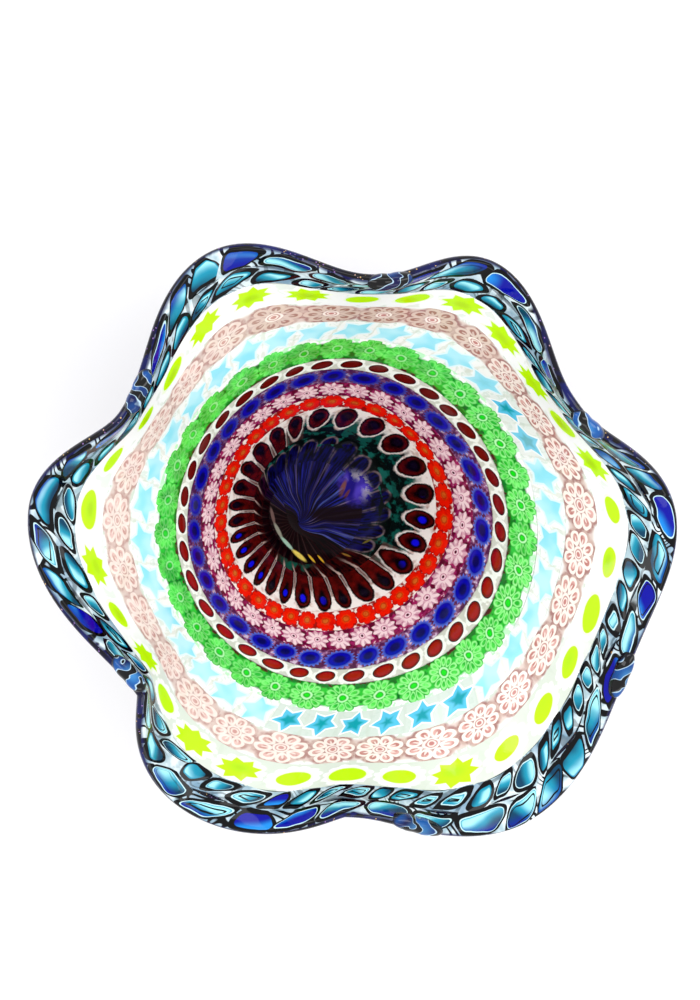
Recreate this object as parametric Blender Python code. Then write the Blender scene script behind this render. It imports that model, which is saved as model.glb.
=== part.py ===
"""Art glass bowl: a tall blown bowl with a six-lobed rim, lined with rings of fused patterned cane slices.

Frame: metres, +Z up, origin at the centre of the flat ground base, +X and +Y across the rim.
The inner surface is one formula of two coordinates: the ring line, which counts the ring borders from the
centre (0) to the lip (13), and the angle round the bowl in degrees. Every layer is set off from that surface,
on the same stations and angles, so neighbouring pieces keep an even gap.
"""
import math

import bmesh
import bpy
from mathutils import Vector

MM = 0.001

# Driving dimensions of the inner surface: radius and height of each ring border, before the rim is scalloped.
RINGS = (
    ("core_swirl", 36.0, 12.0),
    ("navy_drop_band", 50.0, 24.0),
    ("maroon_eye_band", 69.7, 53.0),
    ("orange_flower_band", 80.0, 69.0),
    ("plum_flower_band", 90.2, 82.6),
    ("cobalt_star_band", 100.3, 95.8),
    ("red_oval_band", 107.8, 105.5),
    ("green_flower_band", 122.0, 122.0),
    ("aqua_star_band", 136.3, 138.8),
    ("rose_flower_band", 150.9, 155.4),
    ("lime_sun_band", 164.2, 169.8),
    ("rim_drop_band", 173.5, 179.3),
    ("rim_pebble_band", 184.0, 189.0),
)
INNER_FLOOR = 10.0          # height of the inner surface at its centre
LIP = len(RINGS)            # ring line at the lip

# Hand-worked scallops of the lip: peak angle, peak radius, fullness, then the valley that follows it.
LOBES = (
    (2.0, 198.5, 1.1, 36.0, 147.5),
    (65.0, 185.5, 1.15, 88.0, 158.5),
    (116.0, 195.5, 1.1, 147.5, 159.0),
    (172.0, 196.0, 1.0, 211.0, 149.0),
    (239.0, 194.5, 0.65, 266.0, 156.5),
    (302.0, 219.5, 1.1, 338.5, 183.0),
)
# The rings were dragged off round as the bowl was blown: each pull has a direction, a half-width in degrees,
# and how far it moves each ring border up the wall, in millimetres, from line 3 to line 9.
PULLS = (
    (45.0, 34.0, (-2.0, -9.0, -9.0, -8.0, -6.0, -2.0, 0.0)),
    (212.0, 52.0, (13.0, 9.0, 6.0, 4.0, 3.0, 1.5, 0.0)),
    (322.0, 32.0, (0.0, -3.0, 0.0, 2.0, 6.0, 8.0, 3.0)),
)
FIRST_PULLED = 3
DROOP = 0.62                # how far the lip sinks for each millimetre that it flares
FLARE_START = 7.5           # ring line where the scallops begin
FLARE_SOFT = 0.75           # share of the flare that grows gently, the rest turns the last of the wall
FLARE_SOFT_POWER = 1.6
FLARE_TURN_POWER = 6.0

# Glass thickness, in millimetres
LAYER = 3.0                 # patterned cane layer
CASING = 3.0                # dark outer casing
GAP = 0.3                   # clearance between neighbouring solids
BEAD_RADIUS = 3.6           # fire-polished lip
PINCH_GAP = 0.5             # clearance between a knob and the lip, wider because both are faceted
BASE_RADIUS = 38.0          # flat ground base
BASE_BEVEL = 1.5

# Pinched knobs, one beside each valley of the lip
PINCH_ANGLES = (30.0, 84.5, 142.5, 205.5, 281.5, 333.0)
PINCH_HALF_WIDTH = 4.6      # degrees of the lip that a knob covers on each side
PINCH_THICKNESS = 4.6
PINCH_END_THICKNESS = 0.7
PINCH_WRAP = 122.0          # degrees that a knob wraps round the lip on each side

# Facets
STEPS_ROUND = 72
STEP_ANGLE = 360.0 / STEPS_ROUND
BEAD_SIDES = 8
PINCH_SECTIONS = 7
PINCH_SIDES = 9
PROBE = 0.01                # ring lines, and degrees, used to measure slopes

# Colour, roughness and metallic value of each piece
FINISHES = {
    "core_swirl": ((0.03, 0.02, 0.15), 0.08, 0.0),
    "navy_drop_band": ((0.02, 0.03, 0.10), 0.08, 0.0),
    "maroon_eye_band": ((0.12, 0.01, 0.02), 0.10, 0.0),
    "orange_flower_band": ((0.90, 0.08, 0.01), 0.10, 0.0),
    "plum_flower_band": ((0.42, 0.09, 0.22), 0.10, 0.0),
    "cobalt_star_band": ((0.02, 0.03, 0.45), 0.10, 0.0),
    "red_oval_band": ((0.45, 0.05, 0.03), 0.10, 0.0),
    "green_flower_band": ((0.05, 0.55, 0.10), 0.10, 0.0),
    "aqua_star_band": ((0.35, 0.80, 0.85), 0.10, 0.0),
    "rose_flower_band": ((0.62, 0.42, 0.40), 0.10, 0.0),
    "lime_sun_band": ((0.62, 0.85, 0.15), 0.10, 0.0),
    "rim_drop_band": ((0.05, 0.40, 0.50), 0.08, 0.0),
    "rim_pebble_band": ((0.03, 0.25, 0.50), 0.08, 0.0),
    "outer_casing": ((0.03, 0.02, 0.16), 0.12, 0.0),
    "lip_bead": ((0.02, 0.08, 0.30), 0.05, 0.0),
    "pinch": ((0.02, 0.06, 0.45), 0.05, 0.0),
}

PROFILE = ((0.0, INNER_FLOOR),) + tuple((radius, height) for _, radius, height in RINGS)


def chord_lengths():
    """Distance along the profile at each of its points."""
    lengths = [0.0]
    for before, after in zip(PROFILE, PROFILE[1:]):
        lengths.append(lengths[-1] + math.dist(before, after))
    return lengths


LENGTHS = chord_lengths()


def profile_slope(index):
    """Direction of the smooth profile at one of its points, per millimetre along it."""
    if index == 0:
        return (1.0, 0.0)
    first = index - 1
    last = min(index + 1, LIP)
    run = LENGTHS[last] - LENGTHS[first]
    return tuple((PROFILE[last][axis] - PROFILE[first][axis]) / run for axis in (0, 1))


def profile_point(line):
    """Radius and height of the unscalloped inner surface at a ring line."""
    index = min(int(line), LIP - 1)
    part = line - index
    run = LENGTHS[index + 1] - LENGTHS[index]
    start_slope = profile_slope(index)
    end_slope = profile_slope(index + 1)
    blend = part * part * (3.0 - 2.0 * part)
    lead = part * (1.0 - part) ** 2 * run
    trail = part * part * (part - 1.0) * run
    return tuple(
        PROFILE[index][axis] * (1.0 - blend) + PROFILE[index + 1][axis] * blend
        + lead * start_slope[axis] + trail * end_slope[axis]
        for axis in (0, 1)
    )


def length_at(line):
    """Distance along the profile at a ring line."""
    index = min(int(line), LIP - 1)
    return LENGTHS[index] + (LENGTHS[index + 1] - LENGTHS[index]) * (line - index)


def line_at(length):
    """Ring line at a distance along the profile."""
    for index in range(LIP):
        if length <= LENGTHS[index + 1]:
            return index + (length - LENGTHS[index]) / (LENGTHS[index + 1] - LENGTHS[index])
    return float(LIP)


def ease(part):
    return (1.0 - math.cos(math.pi * part)) / 2.0


def lip_radius(angle):
    """Radius of the scalloped lip at an angle."""
    angle = angle % 360.0
    for index, (peak, peak_radius, fullness, valley, valley_radius) in enumerate(LOBES):
        next_peak, next_radius, next_fullness = LOBES[(index + 1) % len(LOBES)][:3]
        if next_peak < peak:
            next_peak += 360.0
        for turned in (angle, angle + 360.0):
            if peak <= turned <= valley:
                part = ((valley - turned) / (valley - peak)) ** fullness
                return valley_radius + (peak_radius - valley_radius) * ease(part)
            if valley <= turned <= next_peak:
                part = ((turned - valley) / (next_peak - valley)) ** next_fullness
                return valley_radius + (next_radius - valley_radius) * ease(part)
    raise ValueError("no lobe covers the angle")


def flare(line):
    """Share of the lip's scallop that is reached at a ring line."""
    start = length_at(FLARE_START)
    part = max(0.0, (length_at(line) - start) / (LENGTHS[LIP] - start))
    return FLARE_SOFT * part ** FLARE_SOFT_POWER + (1.0 - FLARE_SOFT) * part ** FLARE_TURN_POWER


def inner_point(line, angle):
    """A point of the inner surface, in millimetres."""
    radius, height = profile_point(line)
    shift = (lip_radius(angle) - PROFILE[LIP][0]) * flare(line)
    turn = math.radians(angle)
    spread = radius + shift
    return Vector((spread * math.cos(turn), spread * math.sin(turn), height - DROOP * shift))


def surface_axes(line, angle):
    """Unit directions up the wall and out through the wall."""
    low = max(line - PROBE, 0.0)
    high = min(line + PROBE, float(LIP))
    up_wall = (inner_point(high, angle) - inner_point(low, angle)).normalized()
    turn = math.radians(angle)
    if line > PROBE:
        around = inner_point(line, angle + PROBE) - inner_point(line, angle - PROBE)
    else:
        around = Vector((-math.sin(turn), math.cos(turn), 0.0))
    return up_wall, around.cross(up_wall).normalized()


def wall_point(line, angle, depth):
    """A point set back from the inner surface by a depth, in millimetres."""
    outward = surface_axes(line, angle)[1]
    return inner_point(line, angle) + outward * depth


def station_angles():
    return [step * STEP_ANGLE for step in range(STEPS_ROUND)]


def pulled_line(line, angle):
    """Ring line that a ring border or row really follows at an angle, once the pulls have moved it."""
    moved = length_at(line)
    for direction, half_width, shifts in PULLS:
        position = line - FIRST_PULLED
        if not -1.0 < position < len(shifts):
            continue
        padded = (0.0,) + shifts + (0.0,)
        index = math.floor(position) + 1
        shift = padded[index] + (padded[index + 1] - padded[index]) * (position + 1.0 - index)
        away = (angle - direction + 180.0) % 360.0 - 180.0
        moved += shift * math.exp(-(away / half_width) ** 2)
    return line_at(moved)


def ring_rows(lines, depth):
    return [
        [wall_point(pulled_line(line, angle), angle, depth) for angle in station_angles()]
        for line in lines
    ]


def material_for(name, finish):
    colour, roughness, metallic = FINISHES[finish]
    material = bpy.data.materials.new(name)
    material.use_nodes = True
    shader = material.node_tree.nodes["Principled BSDF"]
    shader.inputs["Base Color"].default_value = (*colour, 1.0)
    shader.inputs["Roughness"].default_value = roughness
    shader.inputs["Metallic"].default_value = metallic
    material.diffuse_color = (*colour, 1.0)
    return material


def object_from(mesh_builder, name, finish):
    """Turn a closed bmesh, in millimetres, into a named object in metres."""
    bmesh.ops.recalc_face_normals(mesh_builder, faces=mesh_builder.faces)
    bmesh.ops.scale(mesh_builder, vec=(MM, MM, MM), verts=mesh_builder.verts)
    bmesh.ops.triangulate(mesh_builder, faces=mesh_builder.faces)
    mesh = bpy.data.meshes.new(name)
    mesh_builder.to_mesh(mesh)
    mesh_builder.free()
    mesh.shade_smooth()
    mesh.set_sharp_from_angle(angle=math.radians(30.0))
    mesh.materials.append(material_for(name, finish))
    made = bpy.data.objects.new(name, mesh)
    bpy.context.scene.collection.objects.link(made)
    return made


def bridge_closed_rows(mesh_builder, row_verts):
    """Join each ring of vertices to the next one; the rings close on themselves."""
    for below, above in zip(row_verts, row_verts[1:]):
        for step in range(len(below)):
            ahead = (step + 1) % len(below)
            mesh_builder.faces.new((below[step], below[ahead], above[ahead], above[step]))


def add_row(mesh_builder, row):
    return [mesh_builder.verts.new(point) for point in row]


def add_fan(mesh_builder, row_verts, centre):
    middle = mesh_builder.verts.new(centre)
    for step in range(len(row_verts)):
        mesh_builder.faces.new((row_verts[step], row_verts[(step + 1) % len(row_verts)], middle))


def wall_end_line():
    """Ring line where the flat end of the wall meets the lip bead."""
    return line_at(LENGTHS[LIP] - 2.0 * BEAD_RADIUS - GAP)


def band_lines(index):
    """Ring lines of one band's rows, inset by half the gap at both borders."""
    start = line_at(LENGTHS[index] + GAP / 2.0)
    last = index == LIP - 1
    end = wall_end_line() if last else line_at(LENGTHS[index + 1] - GAP / 2.0)
    return (start, end)


def make_band(index, name):
    """One ring of fused cane slices: a strip of the inner layer, closed round the bowl."""
    mesh_builder = bmesh.new()
    lines = band_lines(index)
    loop_rows = ring_rows(lines, 0.0) + ring_rows(reversed(lines), LAYER)
    row_verts = [add_row(mesh_builder, row) for row in loop_rows]
    bridge_closed_rows(mesh_builder, row_verts + [row_verts[0]])
    return object_from(mesh_builder, name, name)


def make_core(name):
    """The dark twisted disc that fills the bottom of the bowl."""
    mesh_builder = bmesh.new()
    edge = line_at(LENGTHS[1] - GAP / 2.0)
    lines = (0.5, edge)
    row_verts = [add_row(mesh_builder, row) for row in ring_rows(lines, 0.0) + ring_rows(reversed(lines), LAYER)]
    bridge_closed_rows(mesh_builder, row_verts)
    add_fan(mesh_builder, row_verts[0], Vector((0.0, 0.0, INNER_FLOOR)))
    add_fan(mesh_builder, row_verts[-1], Vector((0.0, 0.0, INNER_FLOOR - LAYER)))
    return object_from(mesh_builder, name, name)


def flat_row(radius, height):
    return [
        Vector((radius * math.cos(math.radians(angle)), radius * math.sin(math.radians(angle)), height))
        for angle in station_angles()
    ]


def make_casing(name):
    """The dark outer shell that carries every ring and stands on its ground base."""
    mesh_builder = bmesh.new()
    inner_depth = LAYER + GAP
    outer_depth = inner_depth + CASING
    borders = [float(line) for line in range(1, LIP)] + [wall_end_line()]
    rows = ring_rows([0.5] + borders, inner_depth)
    rows += ring_rows(reversed(borders), outer_depth)
    rows.append(flat_row(BASE_RADIUS + BASE_BEVEL, BASE_BEVEL))
    rows.append(flat_row(BASE_RADIUS, 0.0))
    row_verts = [add_row(mesh_builder, row) for row in rows]
    bridge_closed_rows(mesh_builder, row_verts)
    add_fan(mesh_builder, row_verts[0], Vector((0.0, 0.0, INNER_FLOOR - inner_depth)))
    add_fan(mesh_builder, row_verts[-1], Vector((0.0, 0.0, 0.0)))
    return object_from(mesh_builder, name, name)


def bead_frame(angle):
    """Centre of the lip bead with its directions up and out of the wall."""
    line = line_at(LENGTHS[LIP] - BEAD_RADIUS)
    up_wall, outward = surface_axes(line, angle)
    middle = inner_point(line, angle) + outward * (LAYER + GAP + CASING) / 2.0
    return middle, up_wall, outward


def bead_frame_on_facets(angle):
    """The bead's frame on the straight facet between its two nearest stations."""
    before = math.floor(angle / STEP_ANGLE) * STEP_ANGLE
    part = (angle - before) / STEP_ANGLE
    here = bead_frame(before)
    there = bead_frame(before + STEP_ANGLE)
    return tuple(first.lerp(second, part) for first, second in zip(here, there))


def section_point(frame, radius, turn):
    """A point round the bead: turn is 0 straight up the wall and grows towards the outside."""
    middle, up_wall, outward = frame
    return middle + up_wall * (radius * math.cos(turn)) + outward * (radius * math.sin(turn))


def make_bead(name):
    """The fire-polished lip: a round bead along the scalloped edge."""
    mesh_builder = bmesh.new()
    sections = []
    for angle in station_angles():
        frame = bead_frame(angle)
        turns = [math.tau * side / BEAD_SIDES for side in range(BEAD_SIDES)]
        sections.append(add_row(mesh_builder, [section_point(frame, BEAD_RADIUS, turn) for turn in turns]))
    bridge_closed_rows(mesh_builder, sections + [sections[0]])
    return object_from(mesh_builder, name, name)


def make_pinch(name, centre_angle):
    """A pinched knob that straddles the lip bead like a saddle."""
    mesh_builder = bmesh.new()
    inner_radius = BEAD_RADIUS + PINCH_GAP
    wrap = math.radians(PINCH_WRAP)
    sections = []
    for section in range(PINCH_SECTIONS):
        part = 2.0 * section / (PINCH_SECTIONS - 1) - 1.0
        frame = bead_frame_on_facets(centre_angle + part * PINCH_HALF_WIDTH)
        bulge = PINCH_END_THICKNESS + (PINCH_THICKNESS - PINCH_END_THICKNESS) * math.sqrt(1.0 - part * part)
        turns = [wrap * (2.0 * side / (PINCH_SIDES - 1) - 1.0) for side in range(PINCH_SIDES)]
        inside = [section_point(frame, inner_radius, turn) for turn in turns]
        outside = [section_point(frame, inner_radius + bulge, turn) for turn in reversed(turns)]
        sections.append(add_row(mesh_builder, inside + outside))
    bridge_closed_rows(mesh_builder, sections)
    for end in (sections[0], sections[-1]):
        for side in range(PINCH_SIDES - 1):
            mirrored = 2 * PINCH_SIDES - 1 - side
            mesh_builder.faces.new((end[side], end[side + 1], end[mirrored - 1], end[mirrored]))
    return object_from(mesh_builder, name, "pinch")


def clear_scene():
    for existing in list(bpy.data.objects):
        bpy.data.objects.remove(existing, do_unlink=True)


def build_bowl():
    make_core(RINGS[0][0])
    for index, (name, _, _) in enumerate(RINGS[1:], start=1):
        make_band(index, name)
    make_casing("outer_casing")
    make_bead("lip_bead")
    for number, angle in enumerate(PINCH_ANGLES, start=1):
        make_pinch(f"pinch_{number}", angle)


clear_scene()
build_bowl()
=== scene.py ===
"""Looks of the art glass bowl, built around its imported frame.

The inner surface is the part's own formula: a ring line, counted from the centre (0) to the lip (13), and
the angle round the bowl. Each ring is a closed strip of cane slices that follows that surface. Every slice
gets its own coordinates, written on the mesh as attributes, and its ring's material draws the slice from
them. Lengths are in millimetres until a mesh is made.
"""

import math
import random

import bpy
import numpy as np
from mathutils import Matrix, Vector


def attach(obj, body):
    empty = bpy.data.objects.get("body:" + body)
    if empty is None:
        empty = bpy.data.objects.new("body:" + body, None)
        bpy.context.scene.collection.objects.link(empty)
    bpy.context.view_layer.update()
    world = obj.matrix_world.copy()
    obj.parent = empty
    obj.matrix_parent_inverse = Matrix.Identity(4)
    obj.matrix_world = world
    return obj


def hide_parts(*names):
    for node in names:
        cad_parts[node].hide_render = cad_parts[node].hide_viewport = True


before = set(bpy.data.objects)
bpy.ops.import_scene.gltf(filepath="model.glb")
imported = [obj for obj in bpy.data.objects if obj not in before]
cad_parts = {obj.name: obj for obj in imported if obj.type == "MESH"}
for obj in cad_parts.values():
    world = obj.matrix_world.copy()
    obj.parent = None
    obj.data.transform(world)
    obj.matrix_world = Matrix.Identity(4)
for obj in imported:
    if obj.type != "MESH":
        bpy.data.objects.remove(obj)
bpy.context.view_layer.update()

MM = 0.001
TAU = math.tau
BODY = "root"

# --- The bowl's driving dimensions, as in the part ---
INNER_FLOOR = 10.0
PROFILE = np.array((
    (0.0, INNER_FLOOR), (36.0, 12.0), (50.0, 24.0), (69.7, 53.0), (80.0, 69.0), (90.2, 82.6),
    (100.3, 95.8), (107.8, 105.5), (122.0, 122.0), (136.3, 138.8), (150.9, 155.4), (164.2, 169.8),
    (173.5, 179.3), (184.0, 189.0),
))
LIP = len(PROFILE) - 1
LOBES = (
    # angle and radius of a lobe's peak, its fullness, and angle and radius of the valley after it
    (2.0, 198.5, 1.1, 36.0, 147.5),
    (65.0, 185.5, 1.15, 88.0, 158.5),
    (116.0, 195.5, 1.1, 147.5, 159.0),
    (172.0, 196.0, 1.0, 211.0, 149.0),
    (239.0, 194.5, 0.65, 266.0, 156.5),
    (302.0, 219.5, 1.1, 338.5, 183.0),
)
PULLS = (
    # direction and half width of a pull, and how far it shifts each ring border, from FIRST_PULLED on
    (45.0, 34.0, (-2.0, -9.0, -9.0, -8.0, -6.0, -2.0, 0.0)),
    (212.0, 52.0, (13.0, 9.0, 6.0, 4.0, 3.0, 1.5, 0.0)),
    (322.0, 32.0, (0.0, -3.0, 0.0, 2.0, 6.0, 8.0, 3.0)),
)
FIRST_PULLED = 3
DROOP = 0.62                # how much the wall drops for each millimetre that a lobe pushes it out
FLARE_START = 7.5           # ring line at which the lobes begin
FLARE_SOFT = 0.75           # share of a lobe that grows gently up the wall; the rest turns out at the lip
FLARE_SOFT_POWER = 1.6
FLARE_TURN_POWER = 6.0
WALL = 6.3                  # whole wall: cane layer, casing and the part's gap
HALF_WALL = WALL / 2.0
BACK_INSET = 2.6            # how deep the back of each ring of slices lies
CASING_INSET = 3.0          # how deep the casing's inner face lies
BASE_RADIUS = 38.0
BASE_BEVEL = 1.5
PINCH_ANGLES = (30.0, 84.5, 142.5, 205.5, 281.5, 333.0)
PINCH_DARKNESS = (0.0, 1.0, 1.0, 0.0, 0.0, 0.0)
PINCH_HALF_WIDTH = 4.9      # degrees along the lip
PINCH_RISE = 6.0
PINCH_REACH = 5.4
PINCH_SET_IN = 1.4          # how far the knobs stand to the inside of the wall's middle
PINCH_LIFT = 0.6
PINCH_WAIST = 0.12          # how much slimmer a knob is at its middle
PINCH_WAIST_SPAN = 0.25     # share of its length that the waist takes up
PINCH_BLUNTNESS = 0.72      # below 1 makes the ends of a knob blunter than an ellipsoid's
PINCH_PATTERN_TURN = 0.12
PINCH_SEED = 60
PROBE = 0.01                # step, in ring lines or degrees, for the directions of the surface

# The gather was closed off centre: the middle of the pattern is dragged to this plan position
SWIRL = np.array((-22.9, -17.6))
SWIRL_REACH = 3.2           # ring line at which the drag has died out
SWIRL_POWER = 1.5
CURL = math.radians(-55.0)  # how far the streaks are turned at the swirl itself
CURL_REACH = 22.0
SWIRL_STEPS = 400

# The uneven borders of a ring are a short and a long wave
SHORT_WAVE = 0.6
LONG_WAVE = 0.5
DOME_POWER = 3              # how flat the raised middle of a slice is


# --- The inner surface ---
LENGTHS = np.concatenate(((0.0,), np.cumsum(np.hypot(*np.diff(PROFILE, axis=0).T))))
SLOPES = np.empty_like(PROFILE)
SLOPES[0] = (1.0, 0.0)
SLOPES[1:-1] = (PROFILE[2:] - PROFILE[:-2]) / (LENGTHS[2:] - LENGTHS[:-2])[:, None]
SLOPES[-1] = (PROFILE[-1] - PROFILE[-2]) / (LENGTHS[-1] - LENGTHS[-2])
BEAD_LENGTH = LENGTHS[LIP] - HALF_WALL      # distance up the wall at which the rounded lip begins


def length_at(line):
    return np.interp(line, np.arange(LIP + 1), LENGTHS)


def line_at(length):
    return np.interp(length, LENGTHS, np.arange(LIP + 1))


def profile_at(line):
    """Radius and height of the unscalloped inner surface."""
    index = np.clip(line.astype(int), 0, LIP - 1)
    part = (line - index)[..., None]
    run = (LENGTHS[index + 1] - LENGTHS[index])[..., None]
    blend = part * part * (3.0 - 2.0 * part)
    lead = part * (1.0 - part) ** 2 * run
    trail = part * part * (part - 1.0) * run
    return (PROFILE[index] * (1.0 - blend) + PROFILE[index + 1] * blend
            + lead * SLOPES[index] + trail * SLOPES[index + 1])


def ease(part):
    return (1.0 - np.cos(np.pi * part)) / 2.0


def lip_radius(angle):
    """Radius of the scalloped lip."""
    angle = np.asarray(angle) % 360.0
    radius = np.zeros_like(angle)
    last_valley, last_radius = LOBES[-1][3] - 360.0, LOBES[-1][4]
    for peak, peak_radius, fullness, valley, valley_radius in LOBES:
        for turned in (angle, angle - 360.0):
            rising = (turned >= last_valley) & (turned <= peak)
            falling = (turned >= peak) & (turned <= valley)
            up = np.clip((turned - last_valley) / (peak - last_valley), 0.0, 1.0) ** fullness
            down = np.clip((valley - turned) / (valley - peak), 0.0, 1.0) ** fullness
            radius = np.where(rising, last_radius + (peak_radius - last_radius) * ease(up), radius)
            radius = np.where(falling, valley_radius + (peak_radius - valley_radius) * ease(down), radius)
        last_valley, last_radius = valley, valley_radius
    return radius


def flare(line):
    start = length_at(FLARE_START)
    part = np.clip((length_at(line) - start) / (LENGTHS[LIP] - start), 0.0, None)
    return FLARE_SOFT * part ** FLARE_SOFT_POWER + (1.0 - FLARE_SOFT) * part ** FLARE_TURN_POWER


def inner_point(line, angle):
    radius, height = np.moveaxis(profile_at(line), -1, 0)
    shift = (lip_radius(angle) - PROFILE[LIP][0]) * flare(line)
    turn = np.radians(angle)
    spread = radius + shift
    return np.stack((spread * np.cos(turn), spread * np.sin(turn), height - DROOP * shift), axis=-1)


def unit(vectors):
    return vectors / np.linalg.norm(vectors, axis=-1, keepdims=True)


def surface_axes(line, angle):
    """Unit directions up the wall and out through the wall."""
    low = np.clip(line - PROBE, 0.0, LIP)
    high = np.clip(line + PROBE, 0.0, LIP)
    up_wall = unit(inner_point(high, angle) - inner_point(low, angle))
    turn = np.radians(angle)
    around = np.stack((-np.sin(turn), np.cos(turn), np.zeros_like(turn)), axis=-1)
    ahead = inner_point(line, angle + PROBE) - inner_point(line, angle - PROBE)
    around = np.where((line > 10 * PROBE)[..., None], ahead, around)
    return up_wall, unit(np.cross(around, up_wall))


def shell_point(length, angle, inset):
    """A point of the visible skin: up the inside and, past BEAD_LENGTH, round the lip towards the outside."""
    line = line_at(np.minimum(length, BEAD_LENGTH))
    up_wall, outward = surface_axes(line, angle)
    turn = (np.maximum(length - BEAD_LENGTH, 0.0) / HALF_WALL)[..., None]
    inset = np.broadcast_to(inset, length.shape)[..., None]
    middle = inner_point(line, angle) + outward * HALF_WALL
    return middle + (up_wall * np.sin(turn) - outward * np.cos(turn)) * (HALF_WALL - inset)


def pulled_length(line, angle):
    """Distance up the wall of a ring border at an angle, once the pulls have moved it."""
    moved = length_at(np.broadcast_to(line, angle.shape))
    for direction, half_width, shifts in PULLS:
        stations = np.arange(len(shifts) + 2) + FIRST_PULLED - 1
        shift = np.interp(line, stations, (0.0, *shifts, 0.0), left=0.0, right=0.0)
        away = (angle - direction + 180.0) % 360.0 - 180.0
        moved = moved + shift * np.exp(-(away / half_width) ** 2)
    return moved


def dragged(line, angle):
    """Where a point of the slice pattern lies on the surface, once the middle is dragged to the swirl."""
    drag = np.clip(1.0 - line / SWIRL_REACH, 0.0, 1.0)[..., None] ** SWIRL_POWER
    turn = np.radians(angle)
    plan = profile_at(line)[..., :1] * np.stack((np.cos(turn), np.sin(turn)), axis=-1) + drag * SWIRL
    away = plan - SWIRL
    curl = CURL * np.clip(1.0 - np.hypot(away[..., 0], away[..., 1]) / CURL_REACH, 0.0, 1.0) ** 2
    plan = SWIRL + np.stack((away[..., 0] * np.cos(curl) - away[..., 1] * np.sin(curl),
                             away[..., 0] * np.sin(curl) + away[..., 1] * np.cos(curl)), axis=-1)
    lines = np.linspace(0.0, SWIRL_REACH + 1.0, SWIRL_STEPS)
    found = np.interp(np.hypot(plan[..., 0], plan[..., 1]), profile_at(lines)[..., 0], lines)
    turned = np.degrees(np.arctan2(plan[..., 1], plan[..., 0]))
    near = line < SWIRL_REACH
    return np.where(near, found, line), np.where(near, turned, angle)


# --- Meshes ---
def finish_mesh(name, points, faces, smooth_angle=40.0):
    """Make a smooth mesh object, in metres, from millimetre points."""
    mesh = bpy.data.meshes.new(name)
    mesh.from_pydata((np.asarray(points) * MM).tolist(), [], faces)
    mesh.update()
    mesh.shade_smooth()
    mesh.set_sharp_from_angle(angle=math.radians(smooth_angle))
    made = bpy.data.objects.new(name, mesh)
    bpy.context.scene.collection.objects.link(made)
    return made


def write_attribute(mesh, name, domain, values):
    layer = mesh.attributes.new(name, "FLOAT_VECTOR", domain)
    layer.data.foreach_set("vector", np.asarray(values, dtype=np.float32).ravel())


def slice_borders(count, jitter, crowd, first_angle, draw):
    """Angles of the borders between the slices of one ring, and the angle of each slice's middle.

    crowd is how much wider the slices are on one side of the bowl than on the other, and that side's angle.
    """
    amount, direction = crowd
    even = first_angle + (np.arange(count) + 0.5) * 360.0 / count
    widths = 1.0 + amount * np.cos(np.radians(even - direction))
    widths = widths * np.array([1.0 + draw.uniform(-jitter, jitter) for _ in range(count)])
    widths = widths * 360.0 / widths.sum()
    borders = first_angle + np.concatenate(((0.0,), np.cumsum(widths)[:-1]))
    return borders, widths, (borders + widths / 2.0) % 360.0


def make_ring(name, lines, count, columns, rows, first_angle=0.0, jitter=0.12, crowd=(0.0, 0.0), lean=0.0,
              dome=0.2, waves=(0.0, 0.0), kind=None, seed=1, start_length=None, end_length=None):
    """One ring of cane slices: a closed strip between two ring lines, with columns by rows faces a slice.

    lean turns the upper border against the lower one, in slice widths. dome raises the middle of each slice.
    waves are the heights of the uneven lower and upper borders. kind gives each slice a number from its
    angle. start_length and end_length, along the wall, stand in for the ring lines on the rounded lip.
    """
    draw = random.Random(seed)
    borders, widths, middles = slice_borders(count, jitter, crowd, first_angle, draw)
    across = np.arange(columns) / columns
    angle = (borders[:, None] + widths[:, None] * across).ravel()
    up = np.linspace(0.0, 1.0, rows + 1)
    phases = [draw.uniform(0.0, TAU) for _ in range(4)]

    def wave(pick):
        turn = np.radians(angle)
        short = SHORT_WAVE * np.sin(turn * (count // 2) + phases[pick])
        return short + LONG_WAVE * np.sin(turn * (count // 3) + phases[pick + 1])

    bottom = pulled_length(lines[0], angle) if start_length is None else np.full_like(angle, start_length)
    low = bottom + waves[0] * wave(0)
    top = pulled_length(lines[1], angle) if end_length is None else np.full_like(angle, end_length)
    high = top + waves[1] * wave(2)
    length = low[:, None] + (high - low)[:, None] * up
    turned = angle[:, None] + (up - 0.5) * lean * 360.0 / count
    height = dome * (1.0 - np.abs(2.0 * up - 1.0) ** DOME_POWER)[None, :]
    height = height * (1.0 - np.abs(2.0 * np.tile(across, count) - 1.0) ** DOME_POWER)[:, None]
    if lines[0] < SWIRL_REACH:
        line, turned = dragged(line_at(length), turned)
        length = length_at(line)
    front = shell_point(length, turned, -height)
    back = shell_point(length[:, ::rows], turned[:, ::rows], BACK_INSET)
    points = np.concatenate((front, back[:, ::-1]), axis=1)
    kinds = np.array([kind(middle) if kind else 0.0 for middle in middles])
    return strip_object(name, points, count, columns, rows, draw, kinds)


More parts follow.
